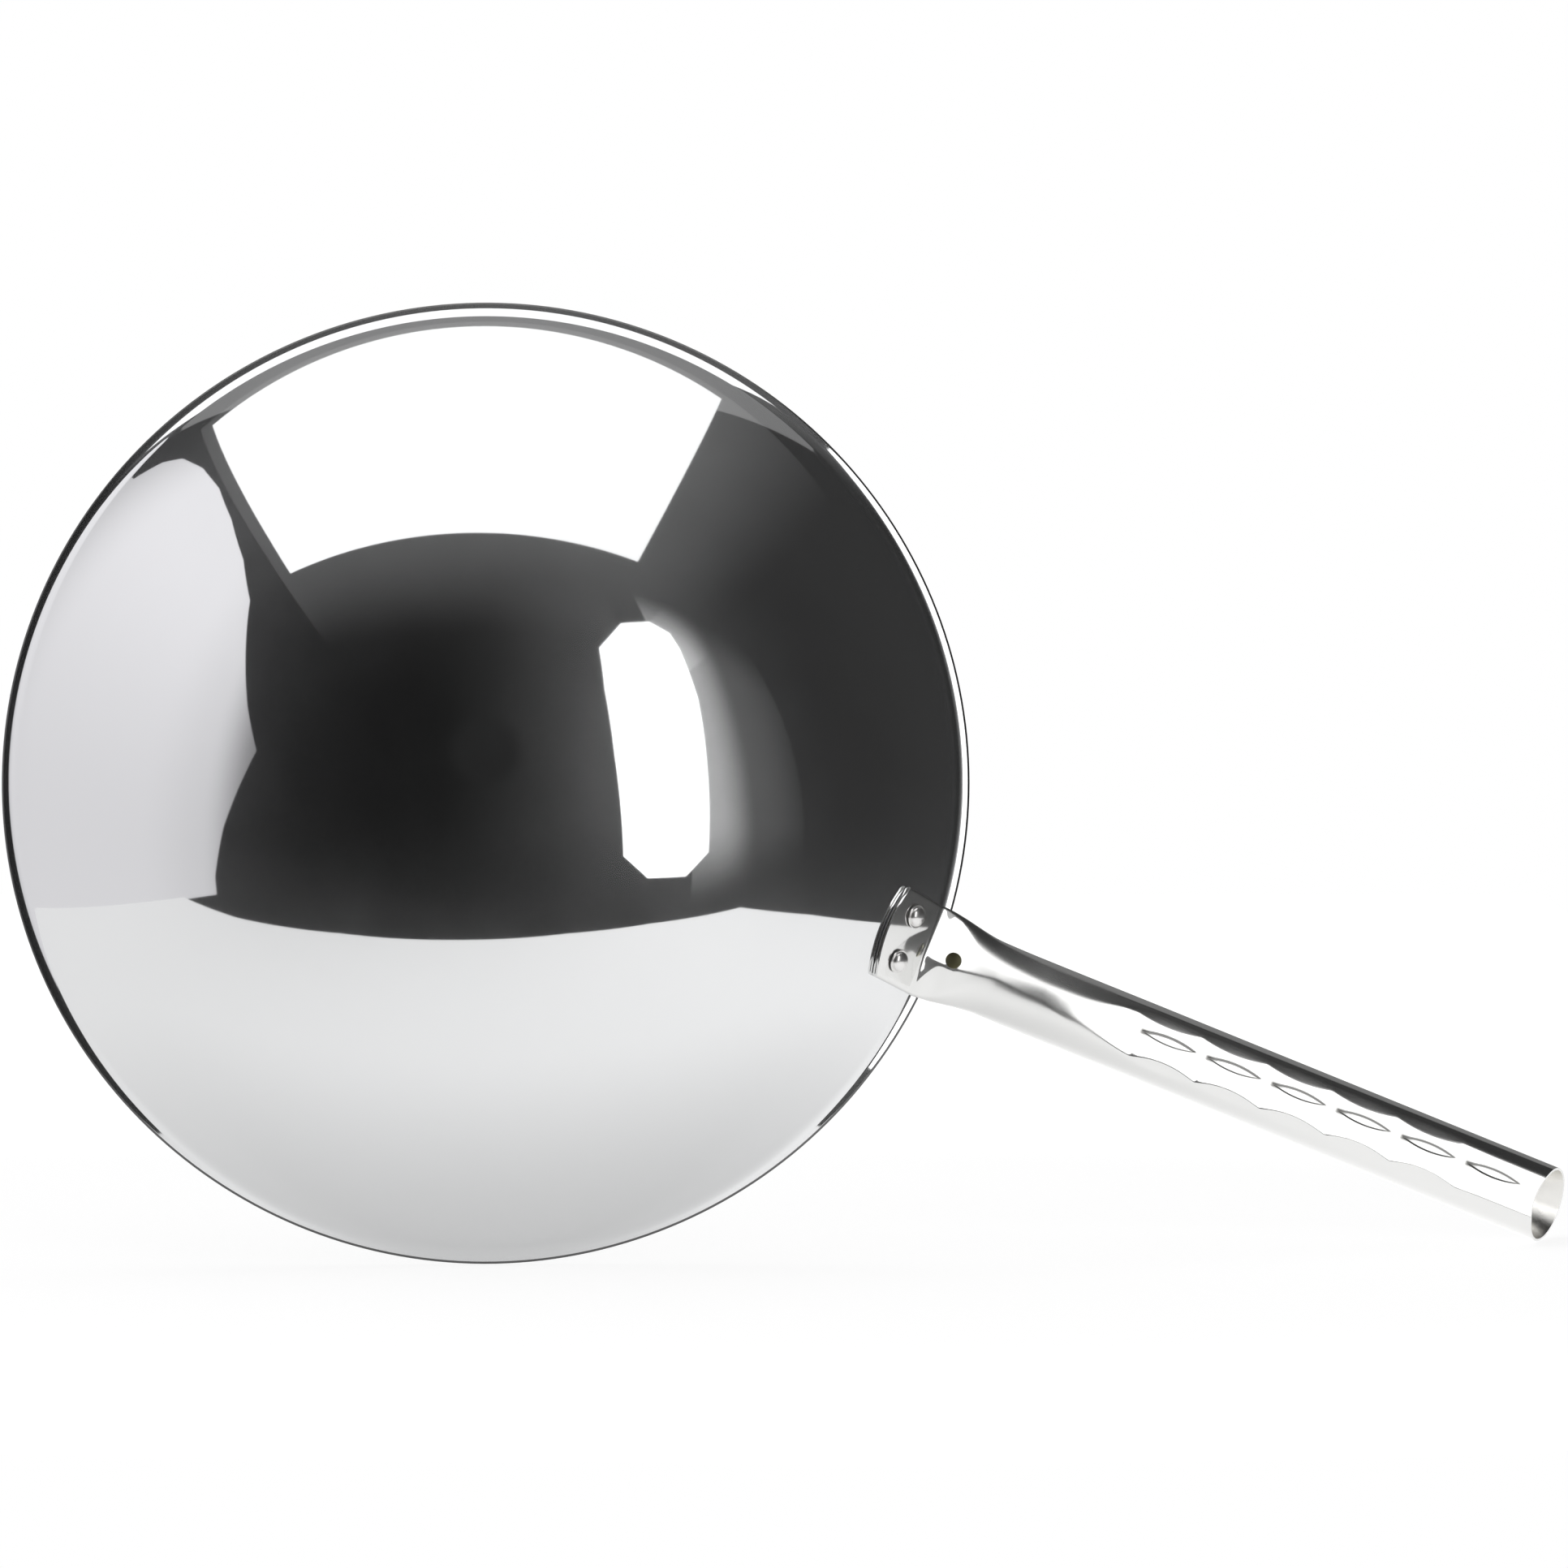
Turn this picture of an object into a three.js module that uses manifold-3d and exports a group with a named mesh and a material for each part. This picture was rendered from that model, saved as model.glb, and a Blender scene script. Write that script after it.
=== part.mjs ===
// Stainless steel wok: a spun round bowl with a turned-out lip, and a hollow tube handle whose
// flattened root is riveted to the outside of the wall.
// Millimetres, +Z up, open side upwards. The origin is the middle of the bowl's underside
// and the handle points along +X.
import * as THREE from 'three';
import { mergeVertices } from 'three/addons/utils/BufferGeometryUtils.js';
import Module from 'manifold-3d';

const wasm = await Module();
wasm.setup();

// Bowl
const RIM_DIAMETER = 356;
const BOWL_DEPTH = 95;
const SHEET = 1.2;
const LIP_WIDTH = 2.4;
const LIP_SLOPE = THREE.MathUtils.degToRad(15); // the lip climbs outwards
const LIP_FILLET = 6.4;
const BASE_DIP = 0.35; // how far the pole is pressed flat

// Handle tube
const HANDLE_REACH = 423.5; // bowl axis to the middle of the open end
const HANDLE_RISE = THREE.MathUtils.degToRad(8);
const TUBE_WALL = 0.9;
const GRIP_DIAMETER = 28.5;
const AXIS_LIFT = 9.5; // the grip's axis above the middle of the flattened root
const END_SLANT = THREE.MathUtils.degToRad(30);

// Flattened root of the tube
const FLANGE_LENGTH = 27.5;
const FLANGE_WIDTH = 35.5;
const FLANGE_TONGUE = 5; // how far the middle of the end edge stands beyond its corners
const CREASE_WIDTH = 34.8;
const ROOT_SLIT = 0.5; // gap left between the two pressed layers
const BEND_RADIUS = 3.4;
const NARROWING_LENGTH = 27; // from the crease's width to the grip's
const SWELL_LENGTH = 42; // from the flattened height to the grip's
const ROOT_BOW = 2.5; // how far the root's edges are bent up past the bend
const BOW_LENGTH = 15; // from the bend to the deepest bow
const VENT_DIAMETER = 6;
const VENT_SETBACK = 10;

// Finger pads pressed flat along the underside of the grip, with grooves between them
const GRIP_PRESS = 2.9; // how far the pads are pressed in
const GROOVE_COUNT = 6;
const GROOVE_DEPTH = 0.55; // how far the grooves lie under the pads
const FIRST_GROOVE = 0.224; // share of the grip's length, from the end of the swell
const LAST_GROOVE = 0.847;

// Rivets
const RIVET_SPACING = 17.5;
const RIVET_PLACE = 0.45; // share of the flange's length, from the bend
const RIVET_SHANK = 4.8;
const RIVET_HEAD = 7.4;
const RIVET_HEAD_HEIGHT = 2.2;
const RIVET_COLLAR = 8.8;
const RIVET_COLLAR_HEIGHT = 0.5;
const INSIDE_HEAD = 10;
const INSIDE_HEAD_HEIGHT = 1.6;

// Clearances
const SEAT_GAP = 0.3; // flange to wall, rivet heads to flange
const LIP_GAP = 3; // top of the flattened tube to the lip's edge
const SHANK_GAP = 0.3;
const INSIDE_HEAD_GAP = 0.5;

// Mesh fineness
const BOWL_SEGMENTS = 72;
const WALL_STEPS = 12;
const FILLET_STEPS = 3;
const EDGE_STEPS = 3;
const TUBE_SIDES = 24;
const EDGE_WEIGHT = 4; // extra points on the tight folds of the flattened root
const FLANGE_RINGS = 7;
const BEND_RINGS = 4;
const SWELL_RINGS = 12;
const PRESS_RINGS = 4;
const PAD_RINGS = 5;
const ROUND_SEGMENTS = 24;
const DOME_STEPS = 4;

const STEEL = { color: 0xd4d5d6, roughness: 0.12, metalness: 1 };

const lerp = THREE.MathUtils.lerp;
const smooth = THREE.MathUtils.smoothstep;
const clamp = THREE.MathUtils.clamp;

// Bowl profile in (radius, height): a spherical wall that meets the lip through a fillet
const rimRadius = RIM_DIAMETER / 2;
const lipEdge = new THREE.Vector2(rimRadius - SHEET / 2, BOWL_DEPTH - SHEET / 2);
const lipOut = new THREE.Vector2(Math.cos(LIP_SLOPE), Math.sin(LIP_SLOPE));
const lipUnder = new THREE.Vector2(lipOut.y, -lipOut.x);
const filletCentre = lipEdge.clone()
  .addScaledVector(lipUnder, SHEET / 2 + LIP_FILLET)
  .addScaledVector(lipOut, SHEET / 2 - LIP_WIDTH);
const filletRise = filletCentre.y + BASE_DIP;
const wallRadius = (filletCentre.x ** 2 + filletRise ** 2 - LIP_FILLET ** 2)
  / (2 * (filletRise + LIP_FILLET));
const wallCentre = new THREE.Vector2(0, wallRadius - BASE_DIP);
const wallTopAngle = Math.atan2(filletCentre.x, wallCentre.y - filletCentre.y);

// Handle path in the XZ plane: down the wall, round the bend, then straight out under the lip
const flatHalf = TUBE_WALL + ROOT_SLIT / 2;
const seatRadius = wallRadius + SEAT_GAP + flatHalf;
const outward = new THREE.Vector2(Math.cos(HANDLE_RISE), Math.sin(HANDLE_RISE));
const upward = new THREE.Vector2(-outward.y, outward.x);
const tubeLine = lipEdge.dot(upward) - (SHEET / 2 + LIP_GAP + flatHalf);
const bendLine = tubeLine - BEND_RADIUS;
const bendReach = seatRadius + BEND_RADIUS;
const bendAlong = Math.sqrt(bendReach ** 2 - (bendLine - wallCentre.dot(upward)) ** 2);
const bendCentre = upward.clone().multiplyScalar(bendLine)
  .addScaledVector(outward, wallCentre.dot(outward) + bendAlong);
const creaseAngle = Math.atan2(bendCentre.x, wallCentre.y - bendCentre.y);

// Stations along the path, measured from the tip of the tongue
const bendEnd = FLANGE_LENGTH + BEND_RADIUS * (creaseAngle - HANDLE_RISE);
const straightStart = bendCentre.clone().addScaledVector(upward, BEND_RADIUS);
const narrowEnd = bendEnd + NARROWING_LENGTH;
const bowDeepest = bendEnd + BOW_LENGTH;
const swellEnd = bendEnd + SWELL_LENGTH;
const tubeEnd = bendEnd + (HANDLE_REACH + AXIS_LIFT * outward.y - straightStart.x) / outward.x;
const firstGroove = lerp(swellEnd, tubeEnd, FIRST_GROOVE);
const lastGroove = lerp(swellEnd, tubeEnd, LAST_GROOVE);
const groovePitch = (lastGroove - firstGroove) / (GROOVE_COUNT - 1);

function arc(centre, radius, from, to, steps) {
  const points = [];
  for (let i = 0; i <= steps; i += 1) {
    const angle = lerp(from, to, i / steps);
    points.push(new THREE.Vector2(
      centre.x + radius * Math.sin(angle),
      centre.y - radius * Math.cos(angle),
    ));
  }
  return points;
}

// Merge a geometry's shared corners and drop the triangles that collapse on an axis
function weld(geometry) {
  geometry.deleteAttribute('normal');
  geometry.deleteAttribute('uv');
  const merged = mergeVertices(geometry, 1e-4);
  const corners = merged.index.array;
  const kept = [];
  for (let i = 0; i < corners.length; i += 3) {
    const [a, b, c] = corners.slice(i, i + 3);
    if (a !== b && b !== c && c !== a) kept.push(a, b, c);
  }
  merged.setIndex(kept);
  return merged;
}

function toSolid(geometry) {
  const vertProperties = new Float32Array(geometry.attributes.position.array);
  const triVerts = new Uint32Array(geometry.index.array);
  return new wasm.Manifold(new wasm.Mesh({ numProp: 3, vertProperties, triVerts }));
}

function toGeometry(solid) {
  const mesh = solid.getMesh();
  const geometry = new THREE.BufferGeometry();
  geometry.setAttribute('position', new THREE.BufferAttribute(mesh.vertProperties, 3));
  geometry.setIndex(new THREE.BufferAttribute(mesh.triVerts, 1));
  return geometry;
}

// A profile of (radius, height) points turned about the Z axis
function revolve(profile, segments) {
  const geometry = weld(new THREE.LatheGeometry(profile, segments));
  geometry.rotateX(Math.PI / 2);
  return geometry;
}

function rodAlong(place, radius, from, to) {
  const profile = [
    new THREE.Vector2(0, from),
    new THREE.Vector2(radius, from),
    new THREE.Vector2(radius, to),
    new THREE.Vector2(0, to),
  ];
  const geometry = revolve(profile, ROUND_SEGMENTS);
  geometry.applyMatrix4(place);
  return toSolid(geometry);
}

function named(name, geometry) {
  geometry.computeVertexNormals();
  const mesh = new THREE.Mesh(geometry, new THREE.MeshStandardMaterial(STEEL));
  mesh.name = name;
  return mesh;
}

// Bowl

function bowlProfile() {
  const innerRadius = wallRadius - SHEET;
  const baseAngle = Math.acos((wallRadius - BASE_DIP) / wallRadius);
  const innerBaseAngle = Math.acos((innerRadius - BASE_DIP) / innerRadius);
  const filletFrom = Math.PI + wallTopAngle;
  const filletTo = Math.PI + LIP_SLOPE;
  return [
    new THREE.Vector2(0, 0),
    ...arc(wallCentre, wallRadius, baseAngle, wallTopAngle, WALL_STEPS),
    ...arc(filletCentre, LIP_FILLET, filletFrom, filletTo, FILLET_STEPS).slice(1),
    ...arc(lipEdge, SHEET / 2, LIP_SLOPE, filletTo, EDGE_STEPS),
    ...arc(filletCentre, LIP_FILLET + SHEET, filletTo, filletFrom, FILLET_STEPS),
    ...arc(wallCentre, innerRadius, wallTopAngle, innerBaseAngle, WALL_STEPS).slice(1),
    new THREE.Vector2(0, SHEET),
  ];
}

// Handle

function pathAt(station) {
  let slope = HANDLE_RISE;
  const point = straightStart.clone().addScaledVector(outward, station - bendEnd);
  if (station < FLANGE_LENGTH) {
    slope = creaseAngle - (FLANGE_LENGTH - station) / seatRadius;
    point.set(Math.sin(slope), -Math.cos(slope)).multiplyScalar(seatRadius).add(wallCentre);
  } else if (station < bendEnd) {
    slope = creaseAngle - (station - FLANGE_LENGTH) / BEND_RADIUS;
    point.set(-Math.sin(slope), Math.cos(slope)).multiplyScalar(BEND_RADIUS).add(bendCentre);
  }
  return { point, under: new THREE.Vector2(Math.sin(slope), -Math.cos(slope)) };
}

// Half width, half height and how far the section's middle stands above the path
function tubeSize(station) {
  const grip = GRIP_DIAMETER / 2;
  const root = lerp(FLANGE_WIDTH / 2, CREASE_WIDTH / 2, clamp(station / FLANGE_LENGTH, 0, 1));
  const swelled = smooth(station, bendEnd, swellEnd);
  return {
    width: lerp(root, grip, smooth(station, bendEnd, narrowEnd)),
    height: lerp(flatHalf, grip, swelled),
    lift: AXIS_LIFT * swelled,
  };
}

// Point of an obround section at a share of its way round, from the middle of its underside
function obround(share, halfWidth, halfHeight) {
  const flat = Math.max(halfWidth - halfHeight, 0);
  const round = EDGE_WEIGHT * halfHeight * Math.PI / 2;
  const quarter = Math.min(share, 1 - share, Math.abs(share - 0.5)) * 4;
  const way = quarter * (flat + round);
  const angle = Math.max(way - flat, 0) / (EDGE_WEIGHT * halfHeight);
  const across = Math.min(way, flat) + halfHeight * Math.sin(angle);
  return new THREE.Vector2(
    share > 0.5 ? -across : across,
    (share > 0.25 && share < 0.75 ? -1 : 1) * halfHeight * Math.cos(angle),
  );
}

// The section is an obround on the wall and turns into an ellipse past the bend
function sectionPoint(station, share, halfWidth, halfHeight) {
  const turn = share * 2 * Math.PI;
  const ellipse = new THREE.Vector2(halfWidth * Math.sin(turn), halfHeight * Math.cos(turn));
  return obround(share, halfWidth, halfHeight).lerp(ellipse, smooth(station, bendEnd, narrowEnd));
}

function rootBow(station) {
  const eased = 1 - smooth(station, bowDeepest, swellEnd);
  return ROOT_BOW * smooth(station, bendEnd, bowDeepest) * eased;
}

// How far the underside of the grip is pressed in
function gripPress(station) {
  const place = (station - firstGroove) / groovePitch;
  const phase = place - Math.floor(place);
  const grooved = place > -0.5 && place < GROOVE_COUNT - 0.5;
  const groove = grooved ? GROOVE_DEPTH * (1 - 4 * phase * (1 - phase)) : 0;
  return GRIP_PRESS * smooth(station, swellEnd, firstGroove) + groove;
}

// One corner of the tube's skin, inset from the outside by a wall or by nothing
function skinPoint(station, share, inset) {
  const rough = tubeSize(station);
  const roughPoint = sectionPoint(station, share, rough.width - inset, rough.height - inset);
  const tongue = FLANGE_TONGUE * (roughPoint.x / rough.width) ** 2
    * clamp(1 - station / FLANGE_LENGTH, 0, 1);
  const nearEnd = clamp((station - lastGroove) / (tubeEnd - lastGroove), 0, 1);
  const shifted = station + tongue - roughPoint.y * Math.tan(END_SLANT) * nearEnd;

  const size = tubeSize(shifted);
  const section = sectionPoint(shifted, share, size.width - inset, size.height - inset);
  const pressed = Math.min(section.y, size.height - inset - gripPress(shifted));
  const onWall = clamp((bendEnd - shifted) / (bendEnd - FLANGE_LENGTH), 0, 1);
  const hug = section.x ** 2 / (2 * seatRadius) * onWall;
  const bow = rootBow(shifted) * (section.x / size.width) ** 2;
  const depth = pressed - size.lift - hug - bow;
  const path = pathAt(shifted);
  return [path.point.x + path.under.x * depth, section.x, path.point.y + path.under.y * depth];
}

function stations() {
  const list = [];
  const addSpan = (from, to, count) => {
    for (let i = 0; i < count; i += 1) list.push(lerp(from, to, i / count));
  };
  addSpan(0, FLANGE_LENGTH, FLANGE_RINGS);
  addSpan(FLANGE_LENGTH, bendEnd, BEND_RINGS);
  addSpan(bendEnd, swellEnd, SWELL_RINGS);
  addSpan(swellEnd, firstGroove, PRESS_RINGS);
  addSpan(firstGroove, lastGroove, PAD_RINGS * (GROOVE_COUNT - 1));
  addSpan(lastGroove, tubeEnd, PAD_RINGS);
  list.push(tubeEnd);
  return list;
}

// The outside skin runs out to the end and the inside skin runs back: one closed open-ended tube
function tubeGeometry() {
  const along = stations();
  const rings = [
    ...along.map((station) => ({ station, inset: 0 })),
    ...along.toReversed().map((station) => ({ station, inset: TUBE_WALL })),
  ];
  const positions = [];
  const index = [];
  rings.forEach((ring, i) => {
    const next = (i + 1) % rings.length;
    for (let k = 0; k < TUBE_SIDES; k += 1) {
      positions.push(...skinPoint(ring.station, k / TUBE_SIDES, ring.inset));
      const a = i * TUBE_SIDES + k;
      const b = i * TUBE_SIDES + (k + 1) % TUBE_SIDES;
      const c = next * TUBE_SIDES + (k + 1) % TUBE_SIDES;
      const d = next * TUBE_SIDES + k;
      index.push(a, b, c, a, c, d);
    }
  });
  const geometry = new THREE.BufferGeometry();
  geometry.setAttribute('position', new THREE.Float32BufferAttribute(positions, 3));
  geometry.setIndex(index);
  return geometry;
}

// A rod from the middle of the flattened tube out through its underside
function ventCut() {
  const station = bendEnd + VENT_SETBACK;
  const path = pathAt(station);
  const place = new THREE.Matrix4().makeRotationFromQuaternion(
    new THREE.Quaternion().setFromUnitVectors(
      new THREE.Vector3(0, 0, 1),
      new THREE.Vector3(path.under.x, 0, path.under.y),
    ),
  );
  place.setPosition(path.point.x, 0, path.point.y);
  return rodAlong(place, VENT_DIAMETER / 2, -tubeSize(station).lift, GRIP_DIAMETER);
}

// Rivets

function rivetPlace(side) {
  const angle = creaseAngle - RIVET_PLACE * FLANGE_LENGTH / seatRadius;
  const sideways = side * RIVET_SPACING / 2 / seatRadius;
  const axis = new THREE.Vector3(
    Math.cos(sideways) * Math.sin(angle),
    Math.sin(sideways),
    -Math.cos(sideways) * Math.cos(angle),
  );
  const position = axis.clone().multiplyScalar(wallRadius).add(new THREE.Vector3(0, 0, wallCentre.y));
  const turn = new THREE.Quaternion().setFromUnitVectors(new THREE.Vector3(0, 0, 1), axis);
  return { position, turn };
}

function dome(radius, base, height) {
  const points = [];
  for (let i = 0; i <= DOME_STEPS; i += 1) {
    const angle = i / DOME_STEPS * Math.PI / 2;
    points.push(new THREE.Vector2(radius * Math.cos(angle), base + height * Math.sin(angle)));
  }
  points[DOME_STEPS].x = 0;
  return points;
}

// Heights run along the rivet from the outside of the wall
function rivetProfile() {
  const insideSeat = -SHEET - INSIDE_HEAD_GAP;
  const outsideSeat = SEAT_GAP + 2 * flatHalf + SEAT_GAP;
  const collarTop = outsideSeat + RIVET_COLLAR_HEIGHT;
  return [
    ...dome(INSIDE_HEAD / 2, insideSeat, -INSIDE_HEAD_HEIGHT).reverse(),
    new THREE.Vector2(RIVET_SHANK / 2, insideSeat),
    new THREE.Vector2(RIVET_SHANK / 2, outsideSeat),
    new THREE.Vector2(RIVET_COLLAR / 2, outsideSeat),
    new THREE.Vector2(RIVET_COLLAR / 2, collarTop),
    ...dome(RIVET_HEAD / 2, collarTop, RIVET_HEAD_HEIGHT),
  ];
}

// Assembly

let bowlSolid = toSolid(revolve(bowlProfile(), BOWL_SEGMENTS));
let handleSolid = toSolid(tubeGeometry()).subtract(ventCut());
const wok = new THREE.Group();
const rivetSides = { rivet_left: 1, rivet_right: -1 };

for (const [name, side] of Object.entries(rivetSides)) {
  const { position, turn } = rivetPlace(side);
  const place = new THREE.Matrix4().compose(position, turn, new THREE.Vector3(1, 1, 1));
  const hole = rodAlong(place, RIVET_SHANK / 2 + SHANK_GAP, -INSIDE_HEAD, INSIDE_HEAD);
  bowlSolid = bowlSolid.subtract(hole);
  handleSolid = handleSolid.subtract(hole);
  const rivet = named(name, revolve(rivetProfile(), ROUND_SEGMENTS));
  rivet.position.copy(position);
  rivet.quaternion.copy(turn);
  wok.add(rivet);
}

wok.add(named('bowl', toGeometry(bowlSolid)));
wok.add(named('handle', toGeometry(handleSolid)));

export default wok;
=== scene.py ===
"""Looks of the stainless steel wok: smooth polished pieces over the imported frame, in a small photo studio."""
import math

import bpy
import numpy as np
from mathutils import Matrix, Vector


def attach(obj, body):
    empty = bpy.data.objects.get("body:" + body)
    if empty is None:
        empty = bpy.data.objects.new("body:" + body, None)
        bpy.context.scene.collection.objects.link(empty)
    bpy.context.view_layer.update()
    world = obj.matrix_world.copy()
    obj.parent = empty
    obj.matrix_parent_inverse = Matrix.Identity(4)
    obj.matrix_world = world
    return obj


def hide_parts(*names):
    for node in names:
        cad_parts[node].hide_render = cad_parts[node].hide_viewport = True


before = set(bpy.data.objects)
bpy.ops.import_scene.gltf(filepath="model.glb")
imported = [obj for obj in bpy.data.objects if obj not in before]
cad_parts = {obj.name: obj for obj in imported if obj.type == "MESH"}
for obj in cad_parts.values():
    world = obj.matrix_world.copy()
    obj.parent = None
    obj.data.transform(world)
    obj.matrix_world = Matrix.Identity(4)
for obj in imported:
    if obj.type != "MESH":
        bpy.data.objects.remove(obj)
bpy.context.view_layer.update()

MM = 0.001

# Bowl sizes, in millimetres, as in the CAD source
RIM_DIAMETER = 356
BOWL_DEPTH = 95
SHEET = 1.2
LIP_WIDTH = 2.4
LIP_SLOPE = math.radians(15)
LIP_FILLET = 6.4
BASE_DIP = 0.35

# Handle sizes, as in the CAD source
HANDLE_REACH = 423.5
HANDLE_RISE = math.radians(8)
TUBE_WALL = 0.9
GRIP_DIAMETER = 28.5
AXIS_LIFT = 9.5
END_SLANT = math.radians(30)
FLANGE_LENGTH = 27.5
FLANGE_WIDTH = 35.5
FLANGE_TONGUE = 5
CREASE_WIDTH = 34.8
ROOT_SLIT = 0.5
BEND_RADIUS = 3.4
NARROWING_LENGTH = 27
SWELL_LENGTH = 42
BOW_LENGTH = 15
VENT_DIAMETER = 6
VENT_SETBACK = 10
GRIP_PRESS = 2.9
GROOVE_COUNT = 6
GROOVE_DEPTH = 0.55
FIRST_GROOVE = 0.224
LAST_GROOVE = 0.847

# Rivet sizes, as in the CAD source
RIVET_SPACING = 17.5
RIVET_PLACE = 0.45
RIVET_SHANK = 4.8
RIVET_HEAD = 7.4
RIVET_HEAD_HEIGHT = 2.2
RIVET_COLLAR = 8.8
RIVET_COLLAR_HEIGHT = 0.5
INSIDE_HEAD = 10
INSIDE_HEAD_HEIGHT = 1.6

# Clearances, as in the CAD source
SEAT_GAP = 0.3
LIP_GAP = 3
INSIDE_HEAD_GAP = 0.5

# Edges, finer than in the CAD
BASE_SOFTENING = 0.04
EDGE_ROUND = 1.0  # length of the lip's rounding on the outside
EDGE_LIMIT = 0.56  # keeps the rounded lip inside the coarser CAD box
END_TRIM = 0.05  # keeps the tube's end inside the coarser CAD box
RIVET_BEVEL = 0.15

# Root and neck of the handle, as the photo's reflections show them. Places are counted from the end of the bend.
FLANGE_TRIM = 3.5  # shortens the flange
RIDGE_LINE = np.array([(0, 3), (10, 3), (27, 0.4), (46, 1.8), (57, 5.4), (74, 9)])  # fold: place, across
RIDGE_BOW = 3.2  # how far the root's edges are bent up beside the fold
RIDGE_FOLD = 1.4  # the same over the neck
RIDGE_LEAN = 0.5  # makes the slope on one side of the fold steeper than on the other
RIDGE_SOFTENING = 0.03
BOW_GROWTH = 8
BELLY = 1.2  # growth of the underside over the neck
BELLY_START = 14
BELLY_TOP = 52
NECK_SWELL = 1.5  # height of the low swelling before the grip
NECK_PLACE = 58
NECK_LENGTH = 14

# Finger pads, as the photo shows them
PRESS_SOFTENING = 0.5
GROOVE_SHIFT = 7.3  # how much nearer to the bowl the grooves sit than in the CAD
GROOVE_TILT = 0.18
GROOVE_MIDDLE = 0.5  # shares of the groove depth, in the flat's middle and at its edges
GROOVE_EDGE = 0.9
PAD_LOWER = 6.3  # half width of the pads' flat at its narrowest, to both sides
PAD_UPPER = 6.2
PAD_LOWER_WAVE = 2.5  # how much wider it is at the grooves
PAD_UPPER_WAVE = 1.7
PAD_BEVEL = 0.38  # slope of the bevel beside the flat
PAD_SOFTENING = 0.3
PAD_FADE = 0.35  # way in front of the first groove over which the bevel starts, in groove pitches

# Almond dimples in the finger pads
DIMPLE_PLACE = 0.24  # of the first one, past the CAD's first groove, in groove pitches
DIMPLE_LENGTH = 20.5
DIMPLE_WIDTH = 2.9
DIMPLE_ASIDE = -2
DIMPLE_EDGE = 1.1
DIMPLE_DEPTH = 0.3

# Mesh fineness
BOWL_SEGMENTS = 256
ROUND_SEGMENTS = 48
ROOM_SEGMENTS = 48
ROOM_STEPS = 24
WALL_STEPS = 110
FILLET_STEPS = 20
EDGE_STEPS = 18
DOME_STEPS = 10
SUPPORT_RING = 0.12
SHARP_ANGLE = math.radians(40)
TUBE_SIDES = 144
CROWDING = 0.6  # draws the tube's sides together along the underside
EDGE_WEIGHT = 4  # draws them together along the flattened root's edges
OUTER_STEP = 0.7
INNER_STEP = 1.4
BEND_STEP = 0.3  # shares of these steps, along the handle
VENT_STEP = 0.5
NECK_STEP = 1.5
GRIP_STEP = 0.86

# Finishes
GRAIN_DETAIL = 4
GRAIN_HEIGHT = 0.2
SMEAR_SCALE = 9
SMEAR_DETAIL = 3
VEIL_ROUGHNESS = 0.42
DULL_GRAIN_SCALE = 250
DULL_GRAIN_BUMP = 0.2
DULL_ROUGHNESS = (0.2, 0.4)
NECK_DULLNESS = 0.17
NECK_DULL_PLACES = (4, 24, 66, 81)  # where the neck's haze starts, is full, fades and ends, from the end of the bend
# Painted shade round the dimples: a dark line along each edge, broadened to a wedge at one end
PAINTED_LINE_SHADE = (0.1, 0.097, 0.09)
LINE_STRENGTH = 3.6
LINE_ROW_FADES = (0.1, 0.05)  # lengths of the fades at the row's start and end, in groove pitches
WEDGE_SHARES = (-1.2, -1.02, -0.95, -0.5)  # where the wedge starts, is full, fades and ends, in half dimple lengths
WEDGE_STRENGTH = 0.9
WEDGE_WIDTHS = (0.4, 1.6)  # half widths within which it is full, and outside of which it is gone

# Forms that follow from the sizes
rim_radius = RIM_DIAMETER / 2
lip_edge = np.array([rim_radius - SHEET / 2, BOWL_DEPTH - SHEET / 2])
lip_out = np.array([math.cos(LIP_SLOPE), math.sin(LIP_SLOPE)])
lip_under = np.array([lip_out[1], -lip_out[0]])
fillet_centre = lip_edge + lip_under * (SHEET / 2 + LIP_FILLET) + lip_out * (SHEET / 2 - LIP_WIDTH)
fillet_rise = fillet_centre[1] + BASE_DIP
wall_radius = (fillet_centre[0] ** 2 + fillet_rise ** 2 - LIP_FILLET ** 2) / (2 * (fillet_rise + LIP_FILLET))
wall_centre = np.array([0.0, wall_radius - BASE_DIP])
wall_top_angle = math.atan2(fillet_centre[0], wall_centre[1] - fillet_centre[1])

flat_half = TUBE_WALL + ROOT_SLIT / 2
seat_radius = wall_radius + SEAT_GAP + flat_half
outward = np.array([math.cos(HANDLE_RISE), math.sin(HANDLE_RISE)])
upward = np.array([-outward[1], outward[0]])
tube_line = lip_edge @ upward - (SHEET / 2 + LIP_GAP + flat_half)
bend_line = tube_line - BEND_RADIUS
bend_along = math.sqrt((seat_radius + BEND_RADIUS) ** 2 - (bend_line - wall_centre @ upward) ** 2)
bend_centre = upward * bend_line + outward * (wall_centre @ outward + bend_along)
crease_angle = math.atan2(bend_centre[0], wall_centre[1] - bend_centre[1])
bend_end = FLANGE_LENGTH + BEND_RADIUS * (crease_angle - HANDLE_RISE)
straight_start = bend_centre + upward * BEND_RADIUS
narrow_end = bend_end + NARROWING_LENGTH
bow_middle = bend_end + BOW_LENGTH
swell_end = bend_end + SWELL_LENGTH
tube_end = bend_end + (HANDLE_REACH + AXIS_LIFT * outward[1] - straight_start[0]) / outward[0]
first_groove = swell_end + (tube_end - swell_end) * FIRST_GROOVE
last_groove = swell_end + (tube_end - swell_end) * LAST_GROOVE
groove_pitch = (last_groove - first_groove) / (GROOVE_COUNT - 1)
first_dimple = first_groove + groove_pitch * DIMPLE_PLACE


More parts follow.
